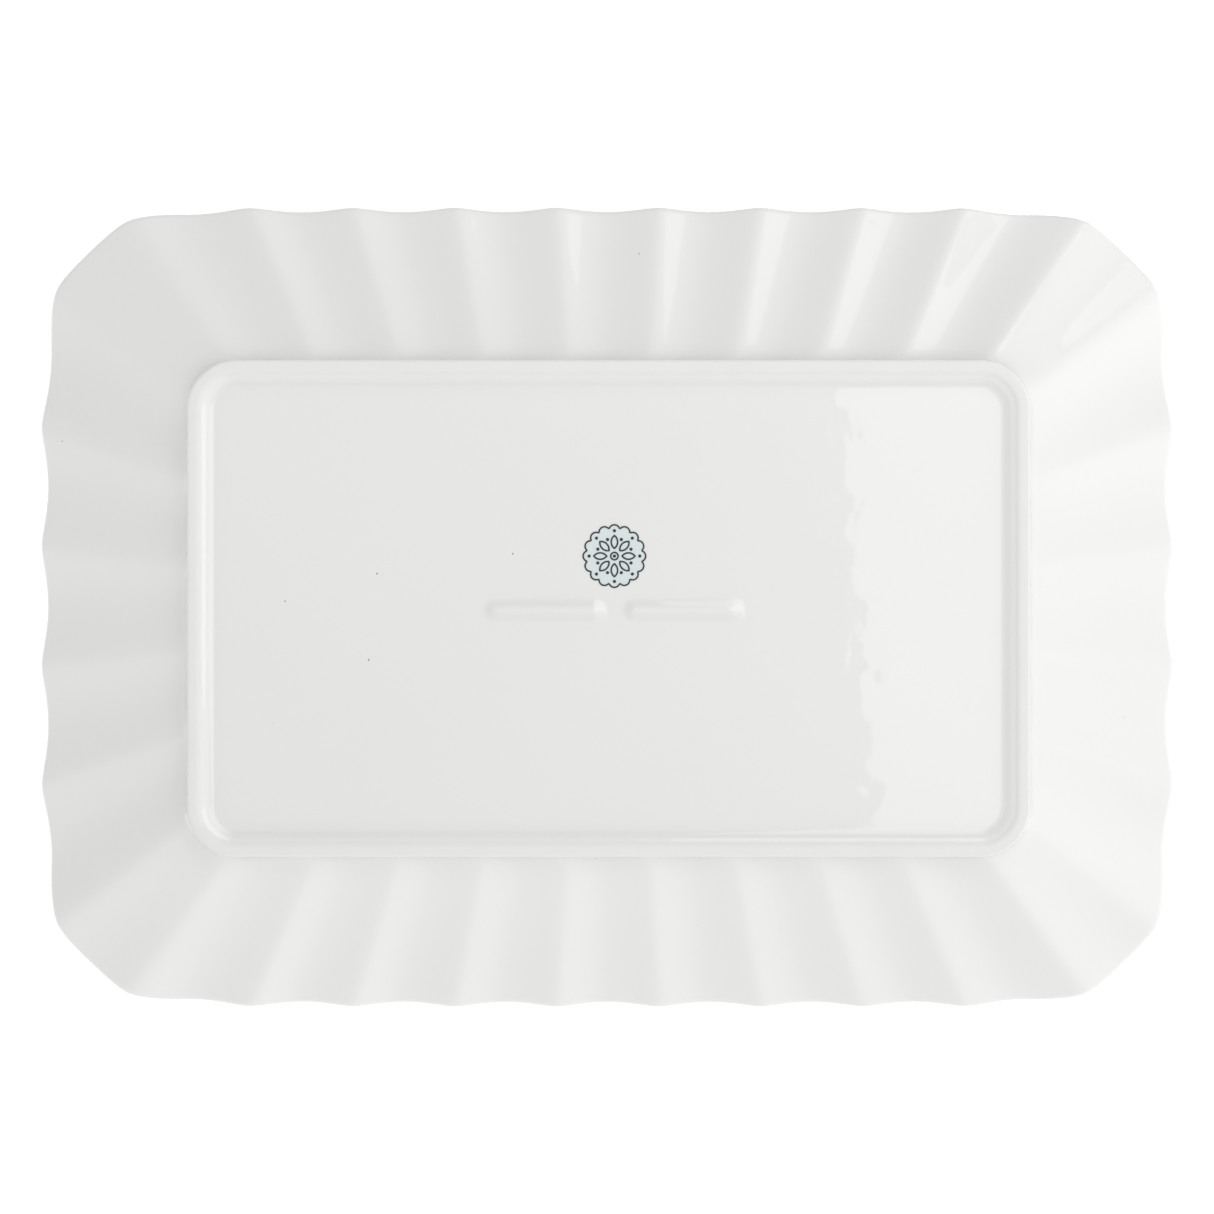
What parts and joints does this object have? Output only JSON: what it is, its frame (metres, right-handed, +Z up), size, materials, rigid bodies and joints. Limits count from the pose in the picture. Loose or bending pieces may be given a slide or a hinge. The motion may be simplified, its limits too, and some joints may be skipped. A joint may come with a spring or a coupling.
{
  "type": "serving platter",
  "caption": "Rectangular white china serving platter with a wide fluted flange, scalloped rim, raised foot ring and low support bars.",
  "frame": {"origin": "middle of the foot ring's flat land, on the surface that the platter stands on", "axes": "+Z up out of the well, +X along the length, +Y across the width"},
  "size_m": [0.36, 0.254, 0.038],
  "materials": {
    "biscuit_porcelain": "matte, fired bare",
    "clear_glaze": "glossy transparent glaze over white porcelain",
    "mark_tint": "faintly tinted print under a gloss",
    "mark_ink": "dark green-black ceramic print"
  },
  "bodies": {
    "root": {"porcelain_body": "biscuit_porcelain", "outer_glaze": "clear_glaze", "base_glaze": "clear_glaze", "mark_ground": "mark_tint", "mark_border": "mark_ink", "mark_petals": "mark_ink", "mark_dots": "mark_ink", "mark_centre": "mark_ink"}
  },
  "joints": []
}
